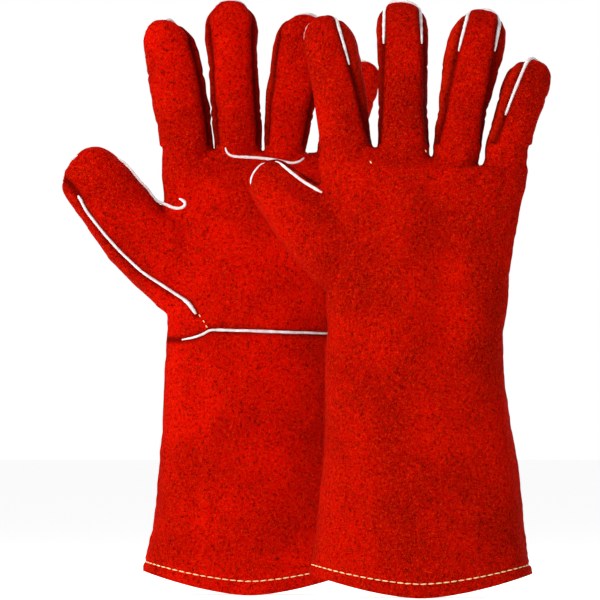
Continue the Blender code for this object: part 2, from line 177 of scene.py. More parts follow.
def across(sections, z):
    # middle x, middle y, half width and half depth at a height
    low, x0, x1, y0, y1 = (sections[:, i] for i in range(5))
    left, right = np.interp(z, low, x0), np.interp(z, low, x1)
    near, far = np.interp(z, low, y0), np.interp(z, low, y1)
    return (left + right) / 2, (near + far) / 2, (right - left) / 2, (far - near) / 2


def addLoft(bm, levels, square, inset, segments):
    # bridged rings with the measured widths, closed at both ends
    loops = []
    for z, x, y, wide, deep, slope in levels:
        ring = bmesh.ops.create_circle(bm, segments=segments, radius=1)["verts"]
        for vert in ring:
            c, s = vert.co.x, vert.co.y
            out = math.copysign(abs(c) ** (2 / square), c) * max(wide - inset, forms["least"])
            rise = math.copysign(abs(s) ** (2 / square), s) * max(deep - inset, forms["least"])
            vert.co = (x + out, y + rise, z + slope * out)
        edges = {e for v in ring for e in v.link_edges}
        loops.append((ring, list(edges)))
    for (_, low), (_, high) in zip(loops, loops[1:]):
        bmesh.ops.bridge_loops(bm, edges=low + high)
    for _, edges in (loops[0], loops[-1]):
        bmesh.ops.contextual_create(bm, geom=edges)


class Shape:
    pass


def hemRise(x, middle, wide):
    # how far the hem's edge climbs at a place across the cuff
    return hem["rise"] * np.clip(np.abs(x - middle) / wide, 0, 1) ** hem["soft"]


def hemRiseOfNode(x, middle, wide):
    side = (np.clip(np.abs(x - middle) / wide, 0, 1) ** hem["square"] - hem["flat"]) / (1 - hem["flat"])
    return hem["rise"] * np.clip(side, 0, 1) ** hem["curve"]


def bodySections(points):
    # the hem's climb is taken out first, so that each row is level
    x, z = points[:, 0], points[:, 2].copy()
    lowest = z < hem["fade"]
    left, right = x[lowest].min(), x[lowest].max()
    climb = hemRiseOfNode(x, (left + right) / 2, (right - left) / 2)
    points = points.copy()
    points[:, 2] = np.where(lowest, (z - climb) / (1 - climb / hem["fade"]), z)
    rows = sectionsOf(points, rowGaps["hand"])
    widths = rows[:, 2] - rows[:, 1]
    return rows[widths > 0.8 * widths.min(where=widths > 0.09, initial=1)]


def measure(side):
    # reads the glove's sections, fingers and thumb from the frame
    s = Shape()
    s.side = side
    s.back = gloves[side]["back"]
    s.body = bodySections(nodePoints(f"{side}_back_panel", f"{side}_cuff_panel", f"{side}_palm_panel"))
    s.y = (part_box(f"{side}_back_panel")[1].y if s.back < 0 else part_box(f"{side}_back_panel")[0].y)
    s.fingers = {}
    for name in stripLines:
        nodes = [n for n in frame["nodes"] if n.startswith(f"{side}_{name}_")
                 and not n.endswith(("lining", "welt"))]
        s.fingers[name] = sectionsOf(nodePoints(*nodes), rowGaps["finger"])
    s.joints = {j["child"]: Vector(j["pos_m"]) for j in frame["joints"]}
    s.thumb = nodePoints(f"{side}_thumb_back", f"{side}_thumb_front")
    s.root = s.joints[f"{side}_thumb"]
    s.thumbTip = s.thumb[np.argmax((s.thumb[:, 2] - s.thumb[:, 0]))]
    s.middleX = s.joints[f"{side}_middle"].x
    return s


def addThumb(bm, s, inset):
    # the thumb's hull, with its root carried into the hand and down towards the wrist
    centre = Vector(s.thumb.mean(0))
    rootLow = s.thumb[:, 2][s.thumb[:, 0] > s.root.x - thumb["rootSlack"]].min()
    made = []
    for p in s.thumb:
        place = Vector(p)
        if inset:
            place -= (place - centre).normalized() * inset
        made.append(bm.verts.new(place))
        if p[0] > s.root.x - thumb["rootSlack"]:
            low = max(0, (s.root.z - p[2]) / (s.root.z - rootLow))
            sink = Vector((thumb["gusset"], 0, -thumb["gusset"] * thumb["drop"] * low))
            made.append(bm.verts.new(place + sink))
    bmesh.ops.convex_hull(bm, input=made)
    bmesh.ops.delete(bm, geom=[v for v in made if not v.link_faces], context="VERTS")


def baseSolid(s, inset):
    # hand, fingers and thumb as overlapping closed lofts
    bm = bmesh.new()
    body = s.body
    levels = []
    for z in (-forms["belowHem"], 0, *body[1:, 0]):
        x, y, wide, deep = across(body, max(z, 0))
        levels.append((z, x, s.y, wide, deep, 0))
    x, y, wide, deep = across(body, body[-1, 0])
    webTop, slope = gloves[s.side]["web"]
    webMiddle = webTop + slope * (x - s.middleX) - inset
    levels.append((webMiddle, x, s.y, wide * wrist["webWidth"], deep * wrist["webDepth"], slope))
    addLoft(bm, levels, forms["handSquare"], inset, forms["handSides"])
    apart = inset or leather["apart"]
    for rows in s.fingers.values():
        x, y, wide, deep = across(rows, rows[0, 0])
        levels = [(rows[0, 0] - forms["fingerRoot"], x, s.y, wide * forms["rootNarrow"], deep, 0)]
        for z in rows[:, 0]:
            x, y, wide, deep = across(rows, z)
            levels.append((min(z, rows[-1, 0] - apart + leather["tipRise"]), x, y, wide, deep, 0))
        addLoft(bm, levels, forms["fingerSquare"], apart, forms["fingerSides"])
    addThumb(bm, s, inset)
    bmesh.ops.recalc_face_normals(bm, faces=bm.faces)
    return bm


def remeshed(s, name, voxel, inset, smoothing):
    obj = newObject(name, baseSolid(s, inset))
    remesh = obj.modifiers.new("one skin", "REMESH")
    remesh.mode = "VOXEL"
    remesh.voxel_size = voxel
    applyModifiers(obj)
    bm = bmesh.new()
    bm.from_mesh(obj.data)
    for _ in range(smoothing):
        bmesh.ops.smooth_vert(bm, verts=bm.verts, factor=0.5, use_axis_x=True, use_axis_y=True,
                              use_axis_z=True)
    cut = lining["aboveHem"] if inset else 0
    bmesh.ops.bisect_plane(bm, geom=bm.verts[:] + bm.edges[:] + bm.faces[:], dist=1e-6,
                           plane_co=(0, 0, cut), plane_no=(0, 0, 1), clear_inner=True)
    bm.to_mesh(obj.data)
    bm.free()
    return obj


def hollow(d, width):
    return np.exp(-(d / width) ** 2)


def segmentDistance(x, z, a, b):
    a, b = np.array(a), np.array(b)
    d = b - a
    t = np.clip(((x - a[0]) * d[0] + (z - a[1]) * d[1]) / (d @ d), 0, 1)
    return np.hypot(x - a[0] - t * d[0], z - a[1] - t * d[1])


def thumbFrame(s):
    # along and across the thumb in the XZ plane
    tip = Vector((s.thumbTip[0], 0, s.thumbTip[2]))
    root = Vector((s.root.x, 0, s.root.z))
    along = (tip - root).normalized()
    return root, along, Vector((along.z, 0, -along.x))


def lowerSeam(s, reach):
    # how far across the thumb its palm-side seam lies, for places along it
    root, along, over = thumbFrame(s)
    rows = []
    for x, z in gloves[s.side]["thumbLower"]:
        dx, dz = s.middleX + x - root.x, z - root.z
        rows.append((dx * along.x + dz * along.z, dx * over.x + dz * over.z))
    places, heights = zip(*sorted(rows))
    return np.interp(reach, places, heights)


def regions(s, co):
    # for each point: 0 hand, 1 to 4 fingers, 5 thumb; the local middle, half width and half depth
    x, z = co[:, 0], co[:, 2]
    part = np.zeros(len(co), int)
    mx, my, wide, deep = across(s.body, z)
    my = np.full(len(co), s.y)
    best = np.full(len(co), 1e9)
    up = np.zeros(len(co))
    for i, rows in enumerate(s.fingers.values(), 1):
        fx, fy, fw, fd = across(rows, z)
        reach = np.abs(x - fx) / forms["fingerReach"]
        mine = (z > wrist["fingerCut"]) & (reach < best) & (x > s.root.x - forms["indexReach"])
        best = np.where(mine, reach, best)
        part = np.where(mine, i, part)
        mx, my = np.where(mine, fx, mx), np.where(mine, fy, my)
        wide, deep = np.where(mine, fw, wide), np.where(mine, fd, deep)
        up = np.where(mine, (z - rows[0, 0]) / (rows[-1, 0] - rows[0, 0]), up)
    inThumb = (x < s.root.x - thumb["start"]) & (z > thumb["lowest"]) & (z < thumb["highest"] + s.root.x - x)
    part = np.where(inThumb, 5, part)
    lean = np.clip((s.root.x - x) / thumb["leanOver"], 0, thumb["leanMost"])
    tipY = s.thumb[:, 1][s.thumb[:, 0] < s.thumb[:, 0].min() + thumb["tipLength"]].mean()
    my = np.where(inThumb, s.y + (tipY - s.y) * lean, my)
    return part, mx, my, wide, deep, up


def fingerWidth(rows):
    return np.median((rows[:, 2] - rows[:, 1]) / 2)


def labels(s, co):
    # names the leather piece that each point belongs to, and how far the nearest seam is
    part, mx, my, wide, deep, up = regions(s, co)
    x, y, z = co.T
    onBack = (y - my) * s.back > 0
    depthOut = np.abs(y - my)
    names = np.where(onBack, "back_panel", "palm_panel").astype(object)
    palmSide = (part == 0) & ~onBack
    wristLine = np.interp(x - s.middleX, *zip(*wristSeam))
    names[palmSide & (z < wristLine)] = "cuff_panel"
    seam = np.where(part == 0, depthOut, 1.0)
    seam = np.where(palmSide, np.minimum(seam, np.abs(z - wristLine)), seam)
    lower = gloves[s.side]["thumbLower"]
    for a, b in zip(lower, lower[1:]):
        seam = np.where(palmSide, np.minimum(seam, segmentDistance(x - s.middleX, z, a, b)), seam)
    for i, (name, rows) in enumerate(s.fingers.items(), 1):
        mine = part == i
        half = fingerWidth(rows)
        away = depthOut[mine]
        piece = np.where(onBack[mine], f"{name}_back", f"{name}_front").astype(object)
        dist = np.full(mine.sum(), 1.0)
        offset = x[mine] - mx[mine]
        for side in (-1, 1):
            out = offset * side
            if side not in stripLines[name]:
                dist = np.where(out > 0, np.minimum(dist, away), dist)
                continue
            low, high = stripLines[name][side]
            line = half * (low + (high - low) * np.clip(up[mine], 0, 1))
            edge = deep[mine] * stripFront
            taper = np.clip((1 - up[mine]) / stripTaper, 0, 1)
            isStrip = (out > 0) & np.where(onBack[mine], out > line, away < edge * taper)
            piece[isStrip] = f"{name}_{stripNames[side]}_strip"
            backGap = np.where(onBack[mine], np.abs(out - line), 1.0)
            frontGap = np.where(~onBack[mine] & (out > 0), np.abs(away - edge * taper), 1.0)
            dist = np.minimum(dist, np.minimum(backGap, frontGap))
        names[mine] = piece
        seam[mine] = dist
    mine = part == 5
    root, along, over = thumbFrame(s)
    v = (x[mine] - root.x) * over.x + (z[mine] - root.z) * over.z
    line = lowerSeam(s, (x[mine] - root.x) * along.x + (z[mine] - root.z) * along.z)
    front = ~onBack[mine] & (v > line)
    names[mine] = np.where(front, "thumb_front", "thumb_back").astype(object)
    seamLow = np.where(~onBack[mine], np.abs(v - line), 1.0)
    seamHigh = np.where(v > 0, depthOut[mine], 1.0)
    seam[mine] = np.minimum(seamLow, seamHigh)
    return names, seam, part


def waves(s, co, part):
    # broad folds and undulations, shared by the leather and its lining
    seed = Vector((gloves[s.side]["seed"], 0, 0))
    broad = np.array([noise.noise(Vector(p) * surface["broadScale"] + seed) for p in co])
    middling = np.array([noise.noise(Vector(p) * surface["middlingScale"] + seed) for p in co])
    move = surface["broad"] * broad + surface["middling"] * middling
    x, y, z = co.T
    backSide = (y - s.y) * s.back > 0
    for face, a, b, width, height in gloves[s.side]["folds"]:
        d = segmentDistance(x - s.middleX, z, a, b)
        shown = (backSide if face == "back" else ~backSide) & (part == 0)
        ease = np.clip(np.abs(y - s.y) / surface["foldEase"], 0, 1)
        move += np.where(shown, height * hollow(d, width) * ease, 0)
    return move, middling


def shapeLeather(s, obj):
    # soft folds, puckers along the seams, a rising hem, and a mask for the painted shade along the seam
    # grooves
    mesh = obj.data
    count = len(mesh.vertices)
    co = np.zeros(count * 3)
    normal = np.zeros(count * 3)
    mesh.vertices.foreach_get("co", co)
    mesh.vertices.foreach_get("normal", normal)
    co, normal = co.reshape(-1, 3), normal.reshape(-1, 3)
    names, seam, part = labels(s, co)
    seed = Vector((gloves[s.side]["seed"], 0, 0))
    move, middling = waves(s, co, part)
    small = np.array([noise.noise(Vector(p) * surface["smallScale"] + seed) for p in co])
    move += surface["small"] * small
    x, y, z = co.T
    backSide = (y - s.y) * s.back > 0
    inFinger = (part > 0) & (part < 5)
    filled = np.clip((z - wrist["fingerCut"] + surface["regrow"]) / surface["regrow"], 0, 1)
    middle, _, wide, _ = across(s.body, z)
    inWeb = (part == 0) & (z > surface["webFrom"]) & (np.abs(x - middle) < surface["webShare"] * wide)
    move += leather["apart"] * np.where(inFinger | inWeb, filled, 0)
    ripple = 0.5 + 0.5 * np.array([noise.noise(Vector(p) * surface["rippleScale"] + seed) for p in co])
    move -= leather["seamDepth"] * hollow(seam, leather["seamWidth"])
    beside = hollow(seam - surface["gatherAt"], surface["gatherWidth"])
    move += leather["pucker"] * beside * (0.4 + 1.2 * ripple)
    for i, rows in enumerate(s.fingers.values(), 1):
        mine = part == i
        for at in surface["creases"]:
            level = rows[0, 0] + at * (rows[-1, 0] - rows[0, 0]) + surface["creaseWander"] * middling
            crease = surface["creaseDepth"] * hollow(z - level, surface["creaseWidth"])
            move -= np.where(mine & ~backSide, crease, 0)
    move -= np.where(part != 5, hem["groove"] * hollow(z - hem["seam"], hem["grooveWidth"]), 0)
    ease = np.clip(z / 0.004, 0.3, 1)
    co += normal * (move * ease)[:, None]
    settle(s, co)
    mesh.vertices.foreach_set("co", co.ravel())
    # painted shade: a mask that is 1 on the seam grooves and fades within a few millimetres, for darkening
    # the suede where shade falls
    shade = mesh.attributes.new("paintedSeamShade", "FLOAT", "POINT")
    shade.data.foreach_set("value", hollow(seam, surface["paintedShadeWidth"]).astype(np.float32))
    mesh.update()
    return names


def settle(s, co):
    # the hem climbs at the sides, and worn places are pulled out of line
    x, z = co[:, 0], co[:, 2]
    middle, _, wide, _ = across(s.body, z)
    co[:, 2] += hemRise(x, middle, wide) * np.clip(1 - z / hem["fade"], 0, 1)
    for (atX, atZ), (byX, byZ), width in gloves[s.side]["pulls"]:
        near = hollow(np.hypot(x - s.middleX - atX, z - atZ), width)
        co[:, 0] += byX * near
        co[:, 2] += byZ * near


def splitPieces(obj, thickness, prefix, nameFaces):
    # one mesh for each sewn piece, with the wall's thickness put inside
    mesh = obj.data
    centres = np.zeros(len(mesh.polygons) * 3)
    mesh.polygons.foreach_get("center", centres)
    faceNames = nameFaces(centres.reshape(-1, 3))
    pieces = {}
    for label in sorted(set(faceNames)):
        bm = bmesh.new()
        bm.from_mesh(mesh)
        bm.faces.ensure_lookup_table()
        drop = [f for f, n in zip(bm.faces, faceNames) if n != label]
        bmesh.ops.delete(bm, geom=drop, context="FACES")
        loose = [f for island in smallIslands(bm) for f in island]
        if loose:
            bmesh.ops.delete(bm, geom=loose, context="FACES")
        mark = bm.verts.layers.float_vector["skinNormal"]
        normals = [v[mark].copy() for v in bm.verts]
        piece = newObject(f"{prefix}{label}", bm)
        wall = piece.modifiers.new("thickness", "SOLIDIFY")
        wall.thickness = thickness
        wall.offset = -1
        applyModifiers(piece)
        piece.data.shade_smooth()
        keepNormals(piece.data, normals)
        pieces[label] = piece
    return pieces


def keepNormals(mesh, normals):
    # neighbouring pieces shade as one skin where no seam parts them
    count = len(normals)
    split = []
    for face in mesh.polygons:
        inside = [v >= count for v in face.vertices]
        for v in face.vertices:
            if all(inside):
                split.append(-normals[v - count])
            elif any(inside):
                split.append(face.normal.copy())
            else:
                split.append(normals[v])
    mesh.normals_split_custom_set(split)
    mesh.attributes.remove(mesh.attributes["skinNormal"])


def markNormals(obj):
    mesh = obj.data
    normals = np.zeros(len(mesh.vertices) * 3, np.float32)
    mesh.vertices.foreach_get("normal", normals)
    mark = mesh.attributes.new("skinNormal", "FLOAT_VECTOR", "POINT")
    mark.data.foreach_set("vector", normals)


def smallIslands(bm):
    # stray faces that a seam line left on the wrong side
    seen = set()
    islands = []
    for face in bm.faces:
        if face in seen:
            continue
        island, queue = [], [face]
        seen.add(face)
        while queue:
            current = queue.pop()
            island.append(current)
            for edge in current.edges:
                for other in edge.link_faces:
                    if other not in seen:
                        seen.add(other)
                        queue.append(other)
        islands.append(island)
    largest = max(len(i) for i in islands)
    return [i for i in islands if len(i) < largest * surface["stray"]]


# finishes
def nodeTree(name):
    material = bpy.data.materials.new(name)
    material.use_nodes = True
    tree = material.node_tree
    return material, tree, tree.nodes["Principled BSDF"]


def noiseNode(tree, coordinates, scale, detail, rough=0.5):
    node = tree.nodes.new("ShaderNodeTexNoise")
    node.inputs["Scale"].default_value = scale
    node.inputs["Detail"].default_value = detail
    node.inputs["Roughness"].default_value = rough
    tree.links.new(coordinates, node.inputs["Vector"])
    return node


def rampNode(tree, factor, low, high):
    node = tree.nodes.new("ShaderNodeMapRange")
    node.inputs["From Min"].default_value = low
    node.inputs["From Max"].default_value = high
    tree.links.new(factor, node.inputs["Value"])
    return node.outputs["Result"]


def mixColour(tree, factor, a, b, kind="MIX"):
    node = tree.nodes.new("ShaderNodeMix")
    node.data_type = "RGBA"
    node.blend_type = kind
    for socket, value in ((node.inputs[0], factor), (node.inputs[6], a), (node.inputs[7], b)):
        if isinstance(value, (tuple, float, int)):
            socket.default_value = (*value, 1) if isinstance(value, tuple) else value
        else:
            tree.links.new(value, socket)
    return node.outputs[2]


def makeSuede(name, look):
    material, tree, shader = nodeTree(name)
    place = tree.nodes.new("ShaderNodeTexCoord").outputs["Object"]
    patches = noiseNode(tree, place, look["patchScale"], 3, 0.55).outputs["Fac"]
    clumps = noiseNode(tree, place, look["clumpScale"], 4, 0.65).outputs["Fac"]
    grains = noiseNode(tree, place, look["grainScale"], 3, 0.8).outputs["Fac"]
    colour = mixColour(tree, rampNode(tree, patches, 0.38, 0.64), look["deep"], look["brushed"])
    colour = mixColour(tree, rampNode(tree, clumps, 0.56, 0.72), colour, look["light"])
    dark = rampNode(tree, clumps, 0.48, 0.34)
    colour = mixColour(tree, dark, colour, look["dark"])
    speck = rampNode(tree, grains, 0.53, 0.72)
    colour = mixColour(tree, speck, colour, look["speck"])
    # painted shade: the suede's colour is pulled towards a near-black red along the seam grooves, standing in
    # for the shade in them
    shade = tree.nodes.new("ShaderNodeAttribute")
    shade.attribute_name = "paintedSeamShade"
    paintedShadeMix = tree.nodes.new("ShaderNodeMath")
    paintedShadeMix.operation = "MULTIPLY"
    paintedShadeMix.inputs[1].default_value = look["paintedShadeStrength"]
    tree.links.new(shade.outputs["Fac"], paintedShadeMix.inputs[0])
    colour = mixColour(tree, paintedShadeMix.outputs[0], colour, look["seam"])
    tree.links.new(colour, shader.inputs["Base Color"])
    shader.inputs["Roughness"].default_value = look["roughness"]
    shader.inputs["Specular IOR Level"].default_value = look["gloss"]
    shader.inputs["Sheen Weight"].default_value = look["sheen"]
    shader.inputs["Sheen Roughness"].default_value = look["sheenRoughness"]
    shader.inputs["Sheen Tint"].default_value = (*look["sheenTint"], 1)
    height = tree.nodes.new("ShaderNodeMath")
    height.operation = "ADD"
    tree.links.new(clumps, height.inputs[0])
    tree.links.new(grains, height.inputs[1])
    bump = tree.nodes.new("ShaderNodeBump")
    bump.inputs["Strength"].default_value = look["bump"]
    bump.inputs["Distance"].default_value = look["nap"]
    tree.links.new(height.outputs[0], bump.inputs["Height"])
    tree.links.new(bump.outputs["Normal"], shader.inputs["Normal"])
    return material


def makeFibre(name, look):
    # welts, lining and thread: pale stock with a fine fibre
    material, tree, shader = nodeTree(name)
    place = tree.nodes.new("ShaderNodeTexCoord").outputs["Object"]
    soft = noiseNode(tree, place, look["softScale"], 3).outputs["Fac"]
    fine = noiseNode(tree, place, look["fineScale"], 2, 0.7).outputs["Fac"]
    colour = mixColour(tree, rampNode(tree, soft, 0.35, 0.65), look["low"], look["high"])
    colour = mixColour(tree, rampNode(tree, fine, 0.55, 0.75), colour, look["stain"])
    tree.links.new(colour, shader.inputs["Base Color"])
    shader.inputs["Roughness"].default_value = 0.9
    shader.inputs["Specular IOR Level"].default_value = 0.15
    shader.inputs["Sheen Weight"].default_value = 0.15
    bump = tree.nodes.new("ShaderNodeBump")
    bump.inputs["Strength"].default_value = 0.6
    bump.inputs["Distance"].default_value = 0.0004
    tree.links.new(fine, bump.inputs["Height"])
    tree.links.new(bump.outputs["Normal"], shader.inputs["Normal"])
    return material


# the near-black seam colour and its strength paint the shade in the seam grooves
suedeLook = {"deep": (0.30, 0.0, 0.0), "brushed": (0.47, 0.0006, 0.0), "light": (0.66, 0.009, 0.0),
             "dark": (0.13, 0.0, 0.0), "speck": (0.85, 0.045, 0.001), "seam": (0.02, 0.0, 0.0),
             "patchScale": 26, "clumpScale": 560, "grainScale": 1700, "paintedShadeStrength": 0.72,
             "sheen": 0.0, "sheenTint": (1.0, 0.05, 0.0), "sheenRoughness": 0.55, "roughness": 0.95,
             "gloss": 0.012, "bump": 1.0, "nap": 0.0009}
stripLook = dict(suedeLook, deep=(0.36, 0.0006, 0.0), brushed=(0.52, 0.005, 0.0), patchScale=60)
leftLook = dict(suedeLook, deep=(0.38, 0.0, 0.0), brushed=(0.58, 0.0008, 0.0))   # the left glove's suede has brighter deep and brushed reds than the right glove's
finishes = {
    "right": makeSuede("red split leather", suedeLook),
    "left": makeSuede("bright red split leather", leftLook),
    "strip": makeSuede("red side strip leather", stripLook),
    "welt": makeFibre("undyed welt leather", {"low": (0.58, 0.52, 0.52), "high": (0.80, 0.76, 0.77),
                                              "stain": (0.62, 0.34, 0.30), "softScale": 260,
                                              "fineScale": 1500}),
    "lining": makeFibre("fleece lining", {"low": (0.62, 0.55, 0.42), "high": (0.74, 0.67, 0.54),
                                          "stain": (0.55, 0.47, 0.36), "softScale": 180, "fineScale": 900}),
    "thread": makeFibre("seam thread", {"low": (0.80, 0.52, 0.20), "high": (0.92, 0.70, 0.38),
                                        "stain": (0.66, 0.40, 0.16), "softScale": 500, "fineScale": 2500}),
}
print("finishes made")


def dress(piece, finish):
    piece.data.materials.clear()
    piece.data.materials.append(finishes[finish])


def attach(piece, label):
    # hand pieces ride on the hands body; finger and thumb pieces get their placement baked in and are left
    # unattached
    digit = label.split("_")[0]
    if digit in stripLines:
        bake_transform(piece)
    elif digit == "thumb":
        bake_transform(piece)
    else:
        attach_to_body(piece, "hands")


def makeLeather(s):
    voxel = leather["voxel"]
    skin = remeshed(s, f"{s.side}Skin", voxel, 0, leather["smoothing"])
    shapeLeather(s, skin)
    markNormals(skin)
    pieces = splitPieces(skin, leather["thickness"], f"{s.side}_leather_", lambda c: labels(s, c)[0])
    for label, piece in pieces.items():
        strip = label.endswith("strip")
        dress(piece, "strip" if strip else s.side)
        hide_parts(f"{s.side}_{label}")
        attach(piece, label)
    s.tree = skinTree(skin)
    bpy.data.objects.remove(skin)
    print(s.side, "leather:", len(pieces), "pieces")


def skinTree(obj):
    bm = bmesh.new()
    bm.from_mesh(obj.data)
    tree = BVHTree.FromBMesh(bm)
    bm.free()
    return tree


def liningNames(s, centres):
    part = regions(s, centres)[0]
    digits = ["hand_lining", *[f"{n}_lining" for n in s.fingers], "thumb_lining"]
    return [digits[p] for p in part]


def makeLining(s):
    skin = remeshed(s, f"{s.side}LiningSkin", lining["voxel"], lining["inset"],
                    lining["smoothing"])
    mesh = skin.data
    co = np.zeros(len(mesh.vertices) * 3)
    normal = np.zeros(len(mesh.vertices) * 3)
    mesh.vertices.foreach_get("co", co)
    mesh.vertices.foreach_get("normal", normal)
    co, normal = co.reshape(-1, 3), normal.reshape(-1, 3)
    co += normal * waves(s, co, regions(s, co)[0])[0][:, None]
    settle(s, co)
    mesh.vertices.foreach_set("co", co.ravel())
    mesh.update()
    markNormals(skin)
    pieces = splitPieces(skin, lining["thickness"], f"{s.side}_fleece_", lambda c: liningNames(s, c))
    for label, piece in pieces.items():
        dress(piece, "lining")
        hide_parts(f"{s.side}_{label}")
        attach(piece, label)
    bpy.data.objects.remove(skin)
    print(s.side, "lining:", len(pieces), "pieces")


# welts and thread, laid on the leather by rays
# how far a welt or thread stands off the leather, and how a ray finds its place
lay = {"onTip": 0.0001, "onFace": 0.0002, "overTip": 0.0003, "away": 0.05, "faceAway": 0.08,
       "nearFace": 0.008, "hemAway": 0.15, "step": 0.0016, "tipTop": 0.985, "tipRows": 16, "acrossTip": 7}
thumbTurns = {"from": -1.15, "to": 0.55, "count": 11, "lean": 0.006}   # the way round the thumb's end
thumbWeltEnds = {"swell": 1.35, "rows": 7, "thin": 0.55, "grow": 0.25, "overTip": 1.1}
tipStarts = {"index": 0.68, "middle": 0.75, "ring": 0.73, "little": 0.48}   # shares of the finger
weltSizes = {"tip": (0.0005, 0.0014), "thumb": (0.0006, 0.00095), "wrist": (0.0005, 0.0010),
             "finger_base": (0.0004, 0.0009)}


def hit(s, origin, direction, stand):
    place, normal, _, _ = s.tree.ray_cast(Vector(origin), Vector(direction).normalized())
    return place + normal * stand if place else None


def smoothPath(points, passes=2):
    for _ in range(passes):
        inner = [(a + b * 2 + c) / 4 for a, b, c in zip(points, points[1:], points[2:])]
        points = [points[0], *inner, points[-1]]
    return points


def cordMesh(name, points, radii):
    curve = bpy.data.curves.new(name, "CURVE")
    curve.dimensions = "3D"
    curve.bevel_depth = 1
    curve.bevel_resolution = 2
    curve.use_fill_caps = True
    spline = curve.splines.new("POLY")
    spline.points.add(len(points) - 1)
    for point, place, radius in zip(spline.points, points, radii):
        point.co = (*place, 1)
        point.radius = radius
    obj = bpy.data.objects.new(name, curve)
    bpy.context.scene.collection.objects.link(obj)
    graph = bpy.context.evaluated_depsgraph_get()
    mesh = bpy.data.meshes.new_from_object(obj.evaluated_get(graph))
    bpy.data.objects.remove(obj)
    bm = bmesh.new()
    bm.from_mesh(mesh)
    bmesh.ops.remove_doubles(bm, verts=bm.verts, dist=1e-6)
    bmesh.ops.recalc_face_normals(bm, faces=bm.faces)
    bpy.data.meshes.remove(mesh)
    made = newObject(name, bm)
    made.data.shade_smooth()
    made.data.set_sharp_from_angle(angle=math.radians(60))
    return made


def weltRadii(count, thin, thick, seed):
    radii = []
    for i in range(count):
        t = i / (count - 1)
        body = math.sin(math.pi * t) ** 0.5
        wobble = 1 + 0.22 * noise.noise(Vector((t * 22, seed, 0)))
        radii.append((thin + (thick - thin) * body) * wobble)
    return radii


def fingerSeamPoint(s, name, side, up):
    rows = s.fingers[name]
    low, high = rows[0, 0], rows[-1, 0]
    z = low + (high - low) * up
    x, y, wide, deep = across(rows, z)
    if side in stripLines[name]:
        a, b = stripLines[name][side]
        offset = side * fingerWidth(rows) * (a + (b - a) * up)
        return hit(s, (x + offset, y + s.back * lay["away"], z), (0, -s.back, 0), lay["onTip"])
    return hit(s, (x + side * lay["away"], y, z), (-side, 0, 0), lay["onTip"])


def makeTipWelt(s, name):
    heights = np.linspace(tipStarts[name], lay["tipTop"], lay["tipRows"])
    left = [p for p in (fingerSeamPoint(s, name, -1, h) for h in heights) if p]
    right = [p for p in (fingerSeamPoint(s, name, 1, h) for h in heights) if p]
    top = []
    for share in np.linspace(0.1, 0.9, lay["acrossTip"]):
        above = left[-1].lerp(right[-1], share) + Vector((0, 0, lay["away"]))
        top.append(hit(s, above, (0, 0, -1), lay["overTip"]))
    points = [p for p in (*left, *top, *reversed(right)) if p]
    points = smoothPath(points, 2)
    radii = weltRadii(len(points), *weltSizes["tip"], s.back + len(name))
    piece = cordMesh(f"{s.side}_white_welt_{name}", points, radii)
    dress(piece, "welt")
    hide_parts(f"{s.side}_{name}_welt")
    attach(piece, name)


def facePoint(s, x, z, face, stand):
    # a place on the palm or the back, given from the middle finger's line and the floor
    way = s.back if face == "palm" else -s.back
    origin = Vector((s.middleX + x, s.y - way * lay["faceAway"], z))
    place = hit(s, origin, (0, way, 0), stand)
    if place:
        return place
    near, normal, _, _ = s.tree.find_nearest(Vector((origin.x, s.y - way * lay["nearFace"], z)))
    return near + normal * stand


def faceLine(s, places, face, passes=3):
    points = []
    for (x0, z0), (x1, z1) in zip(places, places[1:]):
        steps = max(2, int(math.hypot(x1 - x0, z1 - z0) / lay["step"]))
        for i in range(steps):
            t = i / steps
            points.append(facePoint(s, x0 + (x1 - x0) * t, z0 + (z1 - z0) * t, face, lay["onFace"]))
    points.append(facePoint(s, *places[-1], face, lay["onFace"]))
    return smoothPath(points, passes)


def makeThumbWelt(s):
    look = gloves[s.side]
    root, along, over = thumbFrame(s)
    length = (Vector((s.thumbTip[0], 0, s.thumbTip[2])) - root).length
    lower = faceLine(s, look["thumbLower"][::-1], "palm")
    upper = faceLine(s, look["thumbUpper"], look["upperFace"])
    centre = root + along * (length * thumb["tipCentre"])
    lean = s.y - s.back * thumbTurns["lean"]
    tip = []
    for turn in np.linspace(thumbTurns["from"], thumbTurns["to"], thumbTurns["count"]):
        way = along * math.cos(turn) + over * math.sin(turn)
        start = centre + way * lay["away"]
        tip.append(hit(s, (start.x, lean, start.z), -way, lay["overTip"]))
    points = smoothPath([p for p in (*lower, *tip, *upper) if p], 2)
    thin, thick = weltSizes["thumb"]
    radii = []
    for i in range(len(points)):
        overTip = len(lower) <= i < len(lower) + len(tip)
        end = min(i, len(points) - 1 - i)
        swell = thumbWeltEnds["swell"] if i < thumbWeltEnds["rows"] else 1
        wobble = 1 + 0.18 * noise.noise(Vector((i * 0.7, s.back, 4)))
        radius = thin * thumbWeltEnds["overTip"] if overTip else thick
        taper = min(1, thumbWeltEnds["thin"] + end * thumbWeltEnds["grow"])
        radii.append(radius * swell * wobble * taper)
    piece = cordMesh(f"{s.side}_white_welt_thumb", points, radii)
    dress(piece, "welt")
    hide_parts(f"{s.side}_thumb_welt")
    attach(piece, "thumb")


def makeSeamWelts(s):
    for name, places in (("wrist", wristSeam), ("finger_base", gloves[s.side]["fingerBase"])):
        points = faceLine(s, places, "palm")
        radii = weltRadii(len(points), *weltSizes[name], s.back + len(name))
        piece = cordMesh(f"{s.side}_white_welt_{name}", points, radii)
        dress(piece, "welt")
        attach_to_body(piece, "hands")


